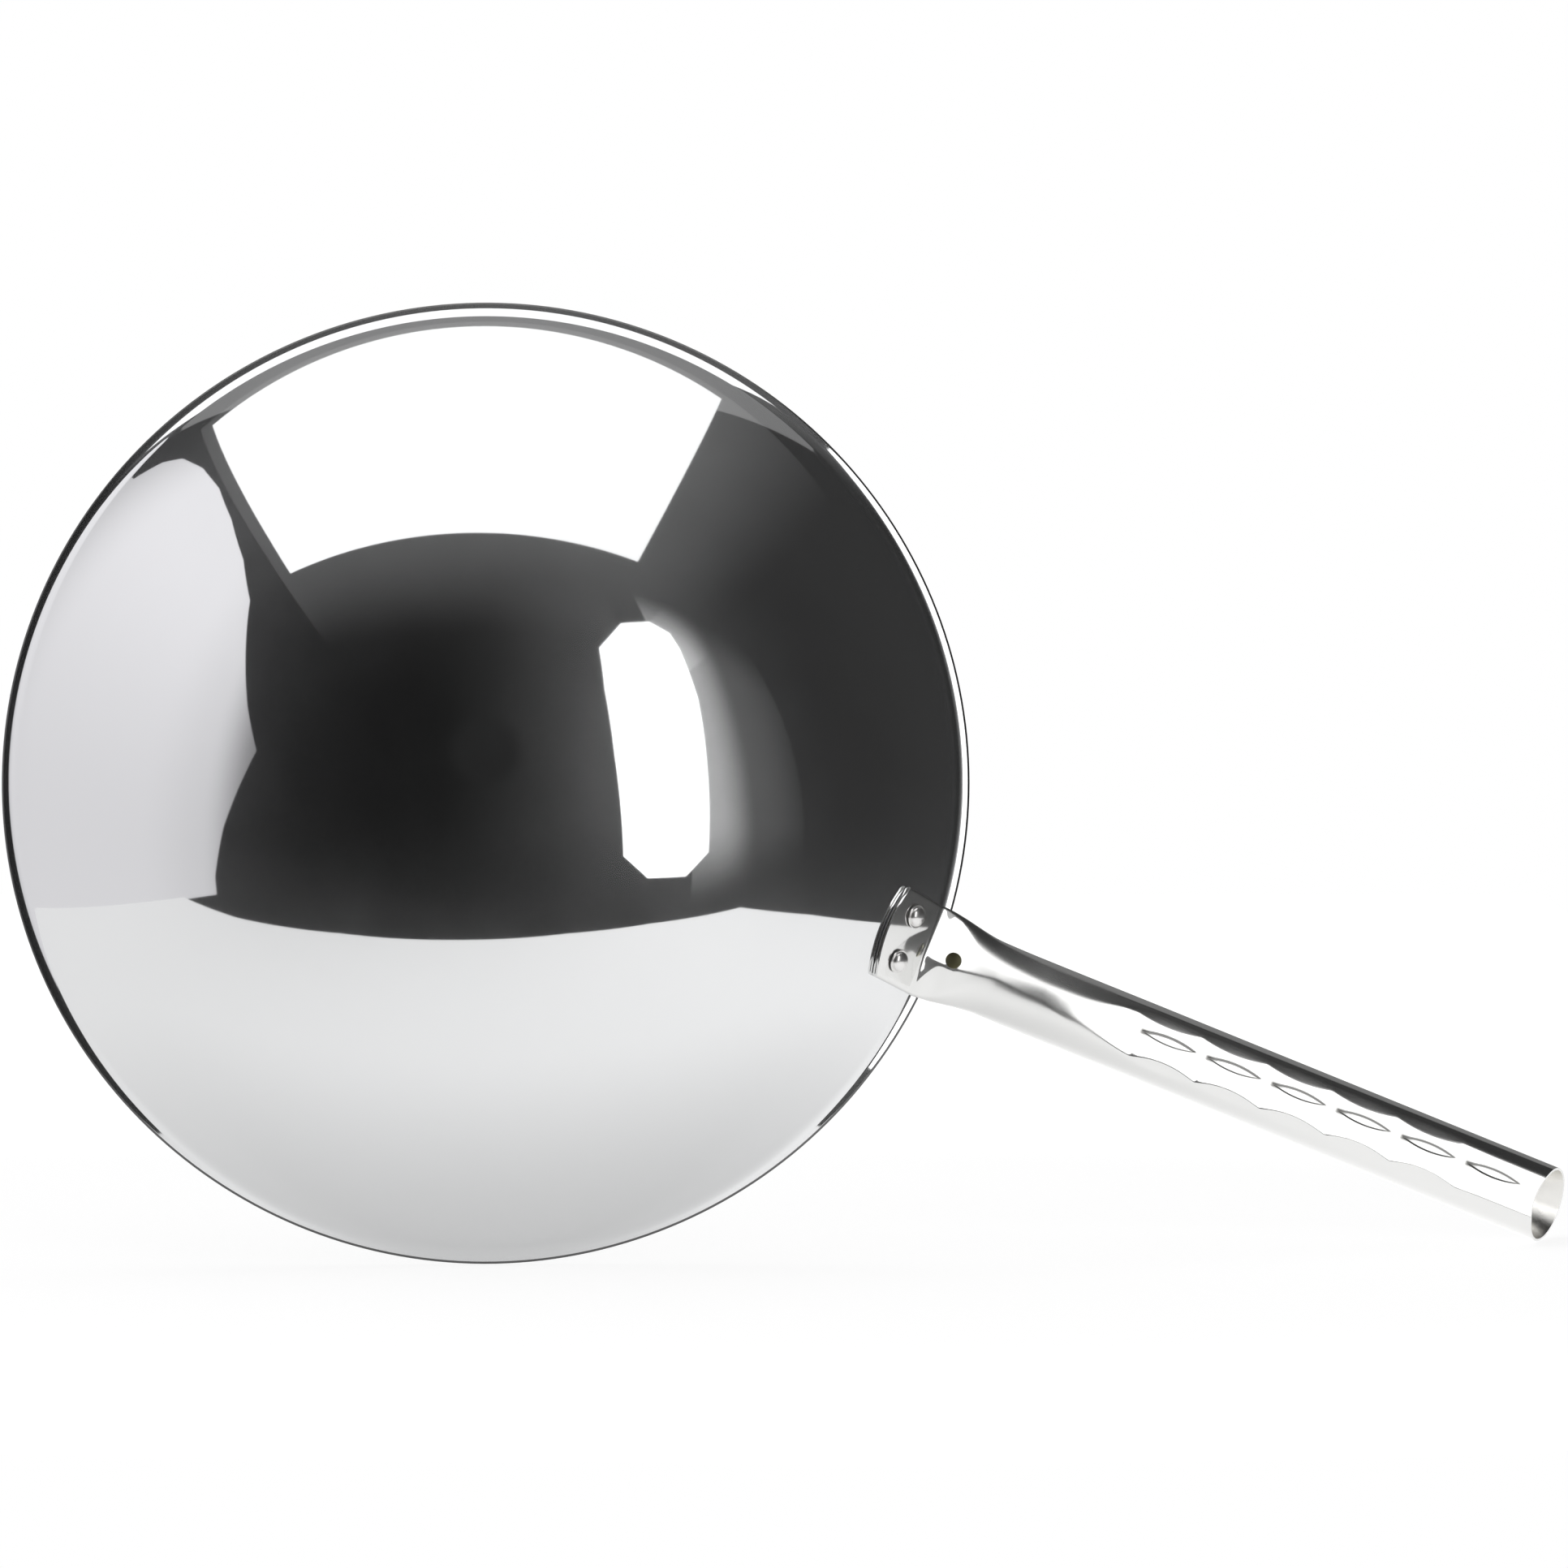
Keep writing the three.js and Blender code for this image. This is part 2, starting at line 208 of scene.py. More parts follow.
def arc(centre, radius, start, stop, steps):
    """Points in (radius, height) on an arc whose angle is measured from straight down."""
    turn = np.linspace(start, stop, steps + 1)
    return np.stack([centre[0] + radius * np.sin(turn), centre[1] - radius * np.cos(turn)], 1)


def smooth_step(x, low, high):
    t = np.clip((x - low) / (high - low), 0, 1)
    return t * t * (3 - 2 * t)


def soft_min(a, b, softening):
    return (a + b - np.sqrt((a - b) ** 2 + softening ** 2)) / 2


def soft_positive(x, softening):
    """The number itself where it is above zero, else zero, with a soft change."""
    return (x + np.sqrt(x ** 2 + softening ** 2)) / 2


# Mesh pieces


def mesh_object(name, points, faces):
    mesh = bpy.data.meshes.new(name)
    mesh.from_pydata((np.asarray(points) * MM).tolist(), [], faces)
    mesh.polygons.foreach_set("use_smooth", [True] * len(mesh.polygons))
    mesh.set_sharp_from_angle(angle=SHARP_ANGLE)
    mesh.validate()
    mesh.update()
    obj = bpy.data.objects.new(name, mesh)
    bpy.context.scene.collection.objects.link(obj)
    return obj


def revolve(profile, segments):
    """Points and faces of a closed profile that starts and ends on the axis."""
    turns = np.arange(segments) * 2 * math.pi / segments
    ring = profile[1:-1]
    points = [np.array([[0, 0, profile[0][1]], [0, 0, profile[-1][1]]])]
    for radius, height in ring:
        points.append(np.stack([
            radius * np.cos(turns),
            radius * np.sin(turns),
            np.full(segments, height),
        ], 1))
    points = np.concatenate(points)
    faces = []
    for k in range(segments):
        n = (k + 1) % segments
        faces.append((0, 2 + n, 2 + k))
        for i in range(len(ring) - 1):
            a, b = 2 + i * segments, 2 + (i + 1) * segments
            faces.append((a + k, a + n, b + n, b + k))
        last = 2 + (len(ring) - 1) * segments
        faces.append((1, last + k, last + n))
    return points, faces


def softened_base(points, floor):
    """Lifts the pole of a wall onto its pressed flat with a soft edge."""
    points[:, 1] = floor + soft_positive(points[:, 1] - floor, BASE_SOFTENING)
    return points


def cut_edge():
    """Rounded edge of the lip, broader on the outside, from the lip's outside face to its inside face."""
    turn = np.linspace(0, math.pi, EDGE_STEPS + 1)
    across = np.where(turn < math.pi / 2, EDGE_ROUND, SHEET / 2) * np.sin(turn)
    across += np.where(turn < math.pi / 2, SHEET / 2 - EDGE_ROUND, 0)
    edge = lip_edge + lip_out * across[:, None] + lip_under * (SHEET / 2 * np.cos(turn))[:, None]
    return np.minimum(edge, lip_edge + EDGE_LIMIT)


def bowl_profile():
    """Closed profile from the pole of the outside to the pole of the inside, and which of its spans are cut edge."""
    inner = wall_radius - SHEET
    fillet_from = math.pi + wall_top_angle
    fillet_to = math.pi + LIP_SLOPE
    outside = arc(fillet_centre, LIP_FILLET, fillet_from, fillet_to, FILLET_STEPS)
    inside = arc(fillet_centre, LIP_FILLET + SHEET, fillet_to, fillet_from, FILLET_STEPS)
    edge = cut_edge()
    support = lip_out * SUPPORT_RING
    spans = [
        softened_base(arc(wall_centre, wall_radius, 0, wall_top_angle, WALL_STEPS), 0),
        outside[1:],
        [outside[-1] + support, edge[0] - support],
        edge,
        [edge[-1] - support, inside[0] + support],
        inside,
        softened_base(arc(wall_centre, inner, wall_top_angle, 0, WALL_STEPS)[1:], SHEET),
    ]
    first_edge = sum(len(span) for span in spans[:3])
    return np.concatenate(spans), range(first_edge, first_edge + len(edge) - 1)


# Handle skin. A station is the way along the tube's path from the flange's end, in millimetres.


def path_at(station):
    """Points of the path in (x, z) and the direction to the underside, for an array of stations."""
    on_wall = station < FLANGE_LENGTH
    on_bend = (station >= FLANGE_LENGTH) & (station < bend_end)
    slope = np.full(station.shape, HANDLE_RISE)
    slope = np.where(on_wall, crease_angle - (FLANGE_LENGTH - station) / seat_radius, slope)
    slope = np.where(on_bend, crease_angle - (station - FLANGE_LENGTH) / BEND_RADIUS, slope)
    under = np.stack([np.sin(slope), -np.cos(slope)], -1)
    straight = straight_start + outward * (station - bend_end)[..., None]
    point = np.where(on_wall[..., None], wall_centre + under * seat_radius, straight)
    point = np.where(on_bend[..., None], bend_centre - under * BEND_RADIUS, point)
    return point, under


def tube_size(station):
    """Half width of the tube's section, its heights above and below its middle, and how far the middle is lifted
    off the path. Over the neck the lower half stays flatter than in the CAD, as the photo's reflections show it."""
    grip = GRIP_DIAMETER / 2
    share = np.clip(station / FLANGE_LENGTH, 0, 1)
    root = FLANGE_WIDTH / 2 * (1 - share) + CREASE_WIDTH / 2 * share
    narrowed = smooth_step(station, bend_end, narrow_end)
    swelled = smooth_step(station, bend_end, swell_end)
    lift = AXIS_LIFT * swelled
    above = flat_half + (grip - flat_half) * swelled
    belly = flat_half + BELLY * smooth_step(station, bend_end + BELLY_START, bend_end + BELLY_TOP)
    belly += (grip - AXIS_LIFT - flat_half - BELLY) * smooth_step(station, bend_end + BELLY_TOP, first_groove)
    return root + (grip - root) * narrowed, above, belly + lift, lift


def obround(share, half_width, half_height):
    """Section points at a share of the way round, from the middle of the underside."""
    flat = np.maximum(half_width - half_height, 0)
    round_way = EDGE_WEIGHT * half_height * math.pi / 2
    quarter = np.minimum(np.minimum(share, 1 - share), np.abs(share - 0.5)) * 4
    way = quarter * (flat + round_way)
    turn = np.maximum(way - flat, 0) / (EDGE_WEIGHT * half_height)
    across = np.minimum(way, flat) + half_height * np.sin(turn)
    down = np.where((share > 0.25) & (share < 0.75), -1, 1) * half_height * np.cos(turn)
    return np.where(share > 0.5, -across, across), down


def section(share, half_width, above, below, station):
    """Obround on the wall, growing into an ellipse past the bend, with its own height below the middle."""
    flat_across, flat_down = obround(share, half_width, above)
    rounded = smooth_step(station, bend_end, narrow_end)
    turn = share * 2 * math.pi
    across = flat_across + (half_width * np.sin(turn) - flat_across) * rounded
    down = flat_down + (above * np.cos(turn) - flat_down) * rounded
    return across, np.where(down > 0, down * below / above, down)


def root_bow(station):
    """How far the flattened root's edges are bent up: a bow past the bend, which runs out as a fold."""
    folded = smooth_step(station, bow_middle, swell_end)
    bow = smooth_step(station, FLANGE_LENGTH, bend_end + BOW_GROWTH) * (1 - folded)
    fold = folded * (1 - smooth_step(station, swell_end, first_groove))
    return RIDGE_BOW * bow + RIDGE_FOLD * fold


def ridge_shape(across, station):
    """Share of the bow across the root: two slopes that meet in a fold, which leaves the vent on one side."""
    ridge = np.interp(station - bend_end, RIDGE_LINE[:, 0], RIDGE_LINE[:, 1])
    place = (across - ridge) / (CREASE_WIDTH / 2)
    return np.sqrt(place ** 2 + RIDGE_SOFTENING ** 2) - RIDGE_SOFTENING + RIDGE_LEAN * place


def root_hug(across, station):
    """How far the flattened root is bent up off the path, to hug the bowl and to form its ridge."""
    on_wall = np.clip((bow_middle - station) / BOW_LENGTH, 0, 1)
    return across ** 2 / (2 * seat_radius) * on_wall + root_bow(station) * ridge_shape(across, station)


def neck_swell(station):
    """A low swelling of the neck's underside, which breaks the strip light's reflection there."""
    return NECK_SWELL * np.exp(-((station - bend_end - NECK_PLACE) / NECK_LENGTH) ** 2)


def grip_press(station, across):
    """How far the grip's underside is pressed in: a flat, and the grooves and scalloped bevels of the finger pads.
    The grooves sit nearer to the bowl than in the CAD and lean a little, as the photo shows them."""
    flat = GRIP_PRESS * smooth_step(station, bend_end + BELLY_TOP, first_groove)

    place = (station + GROOVE_SHIFT - GROOVE_TILT * across - first_groove) / groove_pitch
    phase = place - np.floor(place)
    wave = 1 - 4 * phase * (1 - phase)
    grooved = (place > -0.5) & (place < GROOVE_COUNT - 0.5)
    flat_width = GRIP_DIAMETER / 2 - GRIP_PRESS
    edge_share = np.clip(across / flat_width, -1, 1) ** 2
    groove = np.where(grooved, GROOVE_DEPTH * wave, 0)
    groove *= GROOVE_MIDDLE + (GROOVE_EDGE - GROOVE_MIDDLE) * edge_share

    wave = np.where((place > 0) & (place < GROOVE_COUNT - 1), wave, 1)
    past_lower = across - PAD_LOWER - PAD_LOWER_WAVE * wave
    past_upper = -across - PAD_UPPER - PAD_UPPER_WAVE * wave
    bevel = PAD_BEVEL * soft_positive(np.where(across > 0, past_lower, past_upper), PAD_SOFTENING)
    return flat + groove + bevel * smooth_step(place, -PAD_FADE, 0)


def pad_dimple(station, across):
    """Depth of the almond dimples, one in each finger pad, that are stamped into the grip."""
    along = station - first_dimple
    pad = (along + groove_pitch / 2) % groove_pitch - groove_pitch / 2
    border = DIMPLE_WIDTH / 2 * (pad / (DIMPLE_LENGTH / 2)) ** 2 + np.abs(across - DIMPLE_ASIDE)
    level = smooth_step(border, (DIMPLE_WIDTH - DIMPLE_EDGE) / 2, (DIMPLE_WIDTH + DIMPLE_EDGE) / 2)
    inside = (along > -groove_pitch / 2) & (along < (GROOVE_COUNT - 0.5) * groove_pitch)
    return np.where(inside, DIMPLE_DEPTH * (1 - level), 0)


def skin(stations, inset):
    """Rows of points of one skin of the tube, one row for each station, closest together along the underside."""
    turn = np.arange(TUBE_SIDES) * 2 * math.pi / TUBE_SIDES
    share, station = np.meshgrid((turn - CROWDING * np.sin(turn)) / (2 * math.pi), stations)
    width, above, below, lift = tube_size(station)
    across, down = section(share, width - inset, above - inset, below - inset, station)
    tongue = FLANGE_TONGUE * (across / width) ** 2 * np.clip(1 - station / FLANGE_LENGTH, 0, 1)
    near_end = np.clip((station - last_groove) / (tube_end - last_groove), 0, 1)
    station = station + tongue - down * math.tan(END_SLANT) * near_end

    width, above, below, lift = tube_size(station)
    across, down = section(share, width - inset, above - inset, below - inset, station)
    pressed = soft_min(down, below - inset - grip_press(station, across), PRESS_SOFTENING)
    underside = np.clip(down / (below - inset), 0, 1)
    depth = pressed - lift - root_hug(across, station) + neck_swell(station) * underside
    depth -= np.where(down > 0, pad_dimple(station, across), 0)
    point, under = path_at(station)
    return np.stack([
        point[..., 0] + under[..., 0] * depth,
        across,
        point[..., 1] + under[..., 1] * depth,
    ], -1)


def station_list(step):
    """Stations along the tube, closer together over the bend, round the vent and along the finger pads."""
    past_vent = bend_end + 2 * VENT_SETBACK
    pads_start = first_groove - GROOVE_SHIFT
    end = tube_end - END_TRIM
    spans = [
        (FLANGE_TRIM, FLANGE_LENGTH, step),
        (FLANGE_LENGTH, bend_end, step * BEND_STEP),
        (bend_end, past_vent, step * VENT_STEP),
        (past_vent, pads_start, step * NECK_STEP),
        (pads_start, end, step * GRIP_STEP),
    ]
    parts = [np.linspace(a, b, max(int((b - a) / s), 1), endpoint=False) for a, b, s in spans]
    return np.append(np.concatenate(parts), end)


def open_vent(points, faces, in_skin):
    """Drops the faces over the vent and draws the cut's edge onto its circle.
    Only points below the section's middle are touched, in the skin that in_skin marks."""
    station = bend_end + VENT_SETBACK
    point, under = path_at(np.array(station))
    along = (points[:, 0] - point[0]) * outward[0] + (points[:, 2] - point[1]) * outward[1]
    depth = (points[:, 0] - point[0]) * under[0] + (points[:, 2] - point[1]) * under[1]
    far = np.hypot(along, points[:, 1])
    radius = VENT_DIAMETER / 2
    below_middle = depth > -AXIS_LIFT * smooth_step(station, bend_end, swell_end)
    cut = in_skin & below_middle & (far < radius)
    kept = [f for f in faces if not any(cut[i] for i in f)]
    dropped = [f for f in faces if any(cut[i] for i in f)]
    edge = sorted({i for f in dropped for i in f if not cut[i]})
    for i in edge:
        pull = radius / far[i]
        move = along[i] * (pull - 1)
        points[i, 0] += outward[0] * move
        points[i, 2] += outward[1] * move
        points[i, 1] *= pull
    return kept


def vent_wall(inset):
    """Ring of points round the vent, in the skin with that inset."""
    turns = np.arange(ROUND_SEGMENTS) * 2 * math.pi / ROUND_SEGMENTS
    station = np.array(bend_end + VENT_SETBACK)
    point, under = path_at(station)
    along = np.cos(turns) * VENT_DIAMETER / 2
    across = np.sin(turns) * VENT_DIAMETER / 2
    width, above, below, lift = tube_size(station + along)
    lower = (below - inset) * np.sqrt(1 - (across / (width - inset)) ** 2)
    depth = lower - lift - root_hug(across, station + along)
    return np.stack([
        point[0] + outward[0] * along + under[0] * depth,
        across,
        point[1] + outward[1] * along + under[1] * depth,
    ], 1)


def build_handle():
    """Tube of two skins that meet at both ends, with the vent's wall, and which of its faces are inside."""
    outer_stations = station_list(OUTER_STEP)
    inner_stations = station_list(INNER_STEP)[::-1]
    rows = [skin(outer_stations, 0), skin(inner_stations, TUBE_WALL)]
    points = np.concatenate(rows).reshape(-1, 3)
    ring_count = len(outer_stations) + len(inner_stations)
    is_outer = np.arange(ring_count).repeat(TUBE_SIDES) < len(outer_stations)
    faces = []
    for i in range(ring_count):
        a, b = i * TUBE_SIDES, (i + 1) % ring_count * TUBE_SIDES
        for k in range(TUBE_SIDES):
            n = (k + 1) % TUBE_SIDES
            faces.append((a + k, a + n, b + n, b + k))
    faces = open_vent(points, faces, is_outer)
    faces = open_vent(points, faces, ~is_outer)
    inside = [all(not is_outer[i] for i in f) for f in faces]

    start = len(points)
    points = np.concatenate([points, vent_wall(0), vent_wall(TUBE_WALL)])
    for k in range(ROUND_SEGMENTS):
        n = (k + 1) % ROUND_SEGMENTS
        faces.append((start + k, start + n, start + ROUND_SEGMENTS + n, start + ROUND_SEGMENTS + k))
        inside.append(True)
    return mesh_object("handle_tube", points, faces), inside


# Rivets


def dome(radius, base, height):
    turn = np.linspace(0, math.pi / 2, DOME_STEPS + 1)
    return np.stack([radius * np.cos(turn), base + height * np.sin(turn)], 1)


def rivet_profile():
    """Profile from the pole of the inside head to the pole of the outside head, over the bowl's outside face."""
    inside_seat = -SHEET - INSIDE_HEAD_GAP
    outside_seat = SEAT_GAP + 2 * flat_half + SEAT_GAP
    collar_top = outside_seat + RIVET_COLLAR_HEIGHT
    collar = RIVET_COLLAR / 2
    profile = np.concatenate([
        dome(INSIDE_HEAD / 2, inside_seat, -INSIDE_HEAD_HEIGHT)[::-1],
        [[RIVET_SHANK / 2, inside_seat], [RIVET_SHANK / 2, outside_seat], [collar, outside_seat]],
        [[collar, collar_top - RIVET_BEVEL], [collar - RIVET_BEVEL, collar_top]],
        dome(RIVET_HEAD / 2, collar_top, RIVET_HEAD_HEIGHT),
    ])
    profile[0, 0] = profile[-1, 0] = 0
    return profile


def build_rivet(name, side):
    angle = crease_angle - RIVET_PLACE * FLANGE_LENGTH / seat_radius
    sideways = side * RIVET_SPACING / 2 / seat_radius
    axis = Vector((
        math.cos(sideways) * math.sin(angle),
        math.sin(sideways),
        -math.cos(sideways) * math.cos(angle),
    ))
    place = axis * wall_radius + Vector((0, 0, wall_centre[1]))
    points, faces = revolve(rivet_profile(), ROUND_SEGMENTS)
    turn = np.array(Vector((0, 0, 1)).rotation_difference(axis).to_matrix())
    return mesh_object(name, points @ turn.T + np.array(place), faces)


# Materials


class NodeGraph:
    """Nodes of one material or world. A value given to a node is a constant or another node's output."""

    def __init__(self, owner):
        owner.use_nodes = True
        self.nodes = owner.node_tree.nodes
        self.links = owner.node_tree.links
        self.nodes.clear()

    def add(self, kind, values=(), **settings):
        """Outputs of a new node. Its values go by socket name or number."""
        node = self.nodes.new("ShaderNode" + kind)
        for setting, value in settings.items():
            setattr(node, setting, value)
        for socket, value in dict(values).items():
            if isinstance(value, bpy.types.NodeSocket):
                self.links.new(value, node.inputs[socket])
            else:
                node.inputs[socket].default_value = value
        return node.outputs

    def math(self, operation, *values):
        return self.add("Math", enumerate(values), operation=operation)["Value"]

    def spread(self, source, low, high):
        """Even change from low to high while the source goes from 0 to 1."""
        return self.add("MapRange", {"Value": source, "To Min": low, "To Max": high})["Result"]

    def ramp(self, source, start, stop, low, high):
        """Soft change from low to high while the source goes from start to stop."""
        values = {"Value": source, "From Min": start, "From Max": stop, "To Min": low, "To Max": high}
        return self.add("MapRange", values, interpolation_type="SMOOTHSTEP")["Result"]

    def blend(self, kind, share, low, high):
        return self.add("Mix", {"Factor": share, "A": low, "B": high}, data_type=kind)["Result"]

    def place(self):
        return self.add("TexCoord")["Object"]

    def axes(self, place):
        return self.add("SeparateXYZ", {"Vector": place})

    def surface(self, shader):
        self.add("OutputMaterial", {"Surface": shader})


def new_material(name):
    material = bpy.data.materials.new(name)
    return material, NodeGraph(material)


def dimple_painted_shade(graph, place):
    """Mask of painted shade: a dark line round the edge of each dimple, standing in for what its steep edge mirrors,
    broadened to a wedge at one end.
    """
    turned = graph.add("Mapping", {"Vector": place, "Rotation": (0, HANDLE_RISE, 0)})["Vector"]
    axes = graph.axes(turned)
    pitch = groove_pitch * MM
    along = graph.math("SUBTRACT", axes["X"], (straight_start @ outward + first_dimple - bend_end) * MM)
    pad = graph.math("WRAP", along, pitch / 2, -pitch / 2)
    share = graph.math("DIVIDE", pad, DIMPLE_LENGTH * MM / 2)
    away = graph.math("ABSOLUTE", graph.math("SUBTRACT", axes["Y"], DIMPLE_ASIDE * MM))

    before, after = LINE_ROW_FADES
    row_end = GROOVE_COUNT - 0.5
    first = graph.ramp(along, (-0.5 - before) * pitch, -0.5 * pitch, 0, 1)
    last = graph.ramp(along, (row_end - after) * pitch, row_end * pitch, 1, 0)
    inside = graph.math("MULTIPLY", first, last)

    half = DIMPLE_WIDTH * MM / 2
    soft = DIMPLE_EDGE * MM / 2
    bulge = graph.math("MULTIPLY", graph.math("POWER", share, 2), half)
    height = graph.ramp(graph.math("ADD", bulge, away), half - soft, half + soft, 0, 1)
    sunk = graph.math("MULTIPLY", inside, graph.math("SUBTRACT", 1, height))
    line = graph.math("MULTIPLY", graph.math("MULTIPLY", sunk, height), LINE_STRENGTH)

    start, full, fade, end = WEDGE_SHARES
    near, far = WEDGE_WIDTHS
    rise = graph.ramp(share, start, full, 0, 1)
    fall = graph.ramp(share, fade, end, WEDGE_STRENGTH, 0)
    narrow = graph.math("MULTIPLY", inside, graph.ramp(away, near * MM, far * MM, 1, 0))
    wedge = graph.math("MULTIPLY", graph.math("MULTIPLY", rise, fall), narrow)
    return graph.math("MAXIMUM", line, wedge)


def neck_dullness(graph, place):
    """Roughness that the neck has over the rest of the handle, where the polishing left it hazy."""
    along = graph.axes(place)["X"]
    start, full, fade, end = [(straight_start + outward * way)[0] * MM for way in NECK_DULL_PLACES]
    rise = graph.ramp(along, start, full, 0, 1)
    fall = graph.ramp(along, fade, end, NECK_DULLNESS, 0)
    return graph.math("MULTIPLY", rise, fall)


def steel(name, color, roughness, haze, grain_scale, grain_stretch, bump, dimple_shade_and_haze=False):
    """Polished steel: a sharp mirror with a thin haze of fine scratches over it. The grain is noise drawn out along
    the polishing, and soft smears vary the gloss. One with dimple shade and haze has painted shade round the
    handle's dimples and a hazy neck too."""
    material, graph = new_material(name)
    place = graph.place()
    drawn_out = graph.add("Mapping", {"Vector": place, "Scale": grain_stretch})["Vector"]
    grain = graph.add("TexNoise", {"Vector": drawn_out, "Scale": grain_scale, "Detail": GRAIN_DETAIL})["Fac"]
    smear = graph.add("TexNoise", {"Vector": place, "Scale": SMEAR_SCALE, "Detail": SMEAR_DETAIL})["Fac"]
    normal = graph.add("Bump", {"Height": grain, "Strength": bump, "Distance": GRAIN_HEIGHT * MM})["Normal"]
    base = (*color, 1)
    gloss = graph.spread(smear, *roughness)
    if dimple_shade_and_haze:
        # painted shade round the dimples
        base = graph.blend("RGBA", dimple_painted_shade(graph, place), base, (*PAINTED_LINE_SHADE, 1))
        gloss = graph.math("ADD", gloss, neck_dullness(graph, place))
    metal = {"Base Color": base, "Metallic": 1}
    mirror = graph.add("BsdfPrincipled", {**metal, "Roughness": gloss, "Normal": normal})["BSDF"]
    veil = graph.add("BsdfPrincipled", {**metal, "Roughness": VEIL_ROUGHNESS})["BSDF"]
    graph.surface(graph.add("MixShader", {"Fac": graph.spread(grain, *haze), 1: mirror, 2: veil})["Shader"])
    return material


def painted_shade_steel(name, dark, pale, start, stop):
    """Unpolished steel with painted shade: darker where it starts along the handle and paler where it stops."""
    material, graph = new_material(name)
    place = graph.place()
    paler = graph.ramp(graph.axes(place)["X"], start, stop, 0, 1)
    grain = graph.add("TexNoise", {"Vector": place, "Scale": DULL_GRAIN_SCALE, "Detail": GRAIN_DETAIL})["Fac"]
    bump = {"Height": grain, "Strength": DULL_GRAIN_BUMP, "Distance": GRAIN_HEIGHT * MM}
    graph.surface(graph.add("BsdfPrincipled", {
        "Base Color": graph.blend("RGBA", paler, (*dark, 1), (*pale, 1)),
        "Metallic": 1,
        "Roughness": graph.spread(grain, *DULL_ROUGHNESS),
        "Normal": graph.add("Bump", bump)["Normal"],
    })["BSDF"])
    return material


bowl_finish = steel("bowl_finish", (0.86, 0.865, 0.87), (0.015, 0.05), (0.075, 0.14), 40, (1, 1, 1), 0.02)
handle_finish = steel(
    "handle_finish", (0.87, 0.87, 0.86), (0.02, 0.08), (0.12, 0.3), 60, (0.2, 1, 1), 0.05, dimple_shade_and_haze=True,
)
rivet_finish = steel("rivet_finish", (0.9, 0.89, 0.88), (0.08, 0.18), (0.45, 0.65), 300, (1, 1, 1), 0.1)
# painted shade inside the tube: darker and browner deeper in, paler towards its open end
tube_inside_shaded = painted_shade_steel("tube_inside_shaded", (0.6, 0.58, 0.43), (0.88, 0.87, 0.84), 0.2, 0.38)
# painted shade on the lip's cut edge: nearly black, a little paler towards the handle's side
painted_edge_shade = painted_shade_steel("painted_edge_shade", (0.14, 0.14, 0.14), (0.17, 0.17, 0.17), -0.18, 0.18)

# Object pieces

bowl_line, edge_spans = bowl_profile()
bowl = mesh_object("bowl_spun", *revolve(bowl_line, BOWL_SEGMENTS))
bowl.data.materials.append(bowl_finish)
bowl.data.materials.append(painted_edge_shade)
span_of_face = np.arange(len(bowl.data.polygons)) % (len(bowl_line) - 1)
bowl.data.polygons.foreach_set("material_index", [int(span in edge_spans) for span in span_of_face])
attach(bowl, "root")
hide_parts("bowl")

handle, inside_faces = build_handle()
handle.data.materials.append(handle_finish)
handle.data.materials.append(tube_inside_shaded)
handle.data.polygons.foreach_set("material_index", [int(x) for x in inside_faces])
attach(handle, "root")
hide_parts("handle")

for name, side in (("rivet_left", 1), ("rivet_right", -1)):
    rivet = build_rivet(name + "_head", side)
    rivet.data.materials.append(rivet_finish)
    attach(rivet, "root")
    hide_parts(name)

# Studio, in metres. The photograph shows the wok on its rim, so the studio is turned against the part's frame.
# The camera's axes and place were fitted to the rim and to the handle in the photograph.

STUDIO_CENTRE = Vector((0, 0, 0.0944))
RIGHT = Vector((0.931829, -0.361885, -0.027112))
DOWN = Vector((0.362591, 0.925361, 0.110612))
FORWARD = Vector((-0.014940, -0.112901, 0.993494))
CAMERA_OFFSET = Vector((-0.109496, -0.001435, 3.0))
CAMERA_TILT = math.radians(5.5)
FOCAL_PIXELS = 10044.81
PICTURE_PIXELS = 1932
SENSOR_WIDTH = 36
WHITE = (1, 1, 1)
ACROSS, UP, FRONT = range(3)  # the studio's axes

# Edges that the bowl mirrors, as points in the photograph, given in its pixels
TABLE_PIXELS = [
    (215, 1100), (290, 1130), (420, 1150), (560, 1158), (700, 1150), (800, 1138), (912, 1118), (1000, 1127),
    (1085, 1137),
]
STRIP_PIXELS = [
    (738, 798), (765, 768), (800, 766), (825, 780), (838, 800), (860, 860), (872, 950), (873, 1050), (845, 1080),
    (798, 1082), (768, 1055), (757, 930), (745, 850),
]
REFLECTOR_PIXELS = [
    (165, 590), (200, 570), (225, 565), (250, 577), (270, 602), (285, 640), (300, 690), (308, 740), (305, 870),
    (316, 925), (275, 1020), (265, 1080),
]

camera_place = STUDIO_CENTRE - (RIGHT * CAMERA_OFFSET.x + DOWN * CAMERA_OFFSET.y + FORWARD * CAMERA_OFFSET.z)
table_up = -DOWN * math.cos(CAMERA_TILT) - FORWARD * math.sin(CAMERA_TILT)
table_front = -FORWARD * math.cos(CAMERA_TILT) + DOWN * math.sin(CAMERA_TILT)
studio_frame = Matrix((RIGHT, table_up, table_front)).transposed().to_4x4()
studio_frame.translation = STUDIO_CENTRE


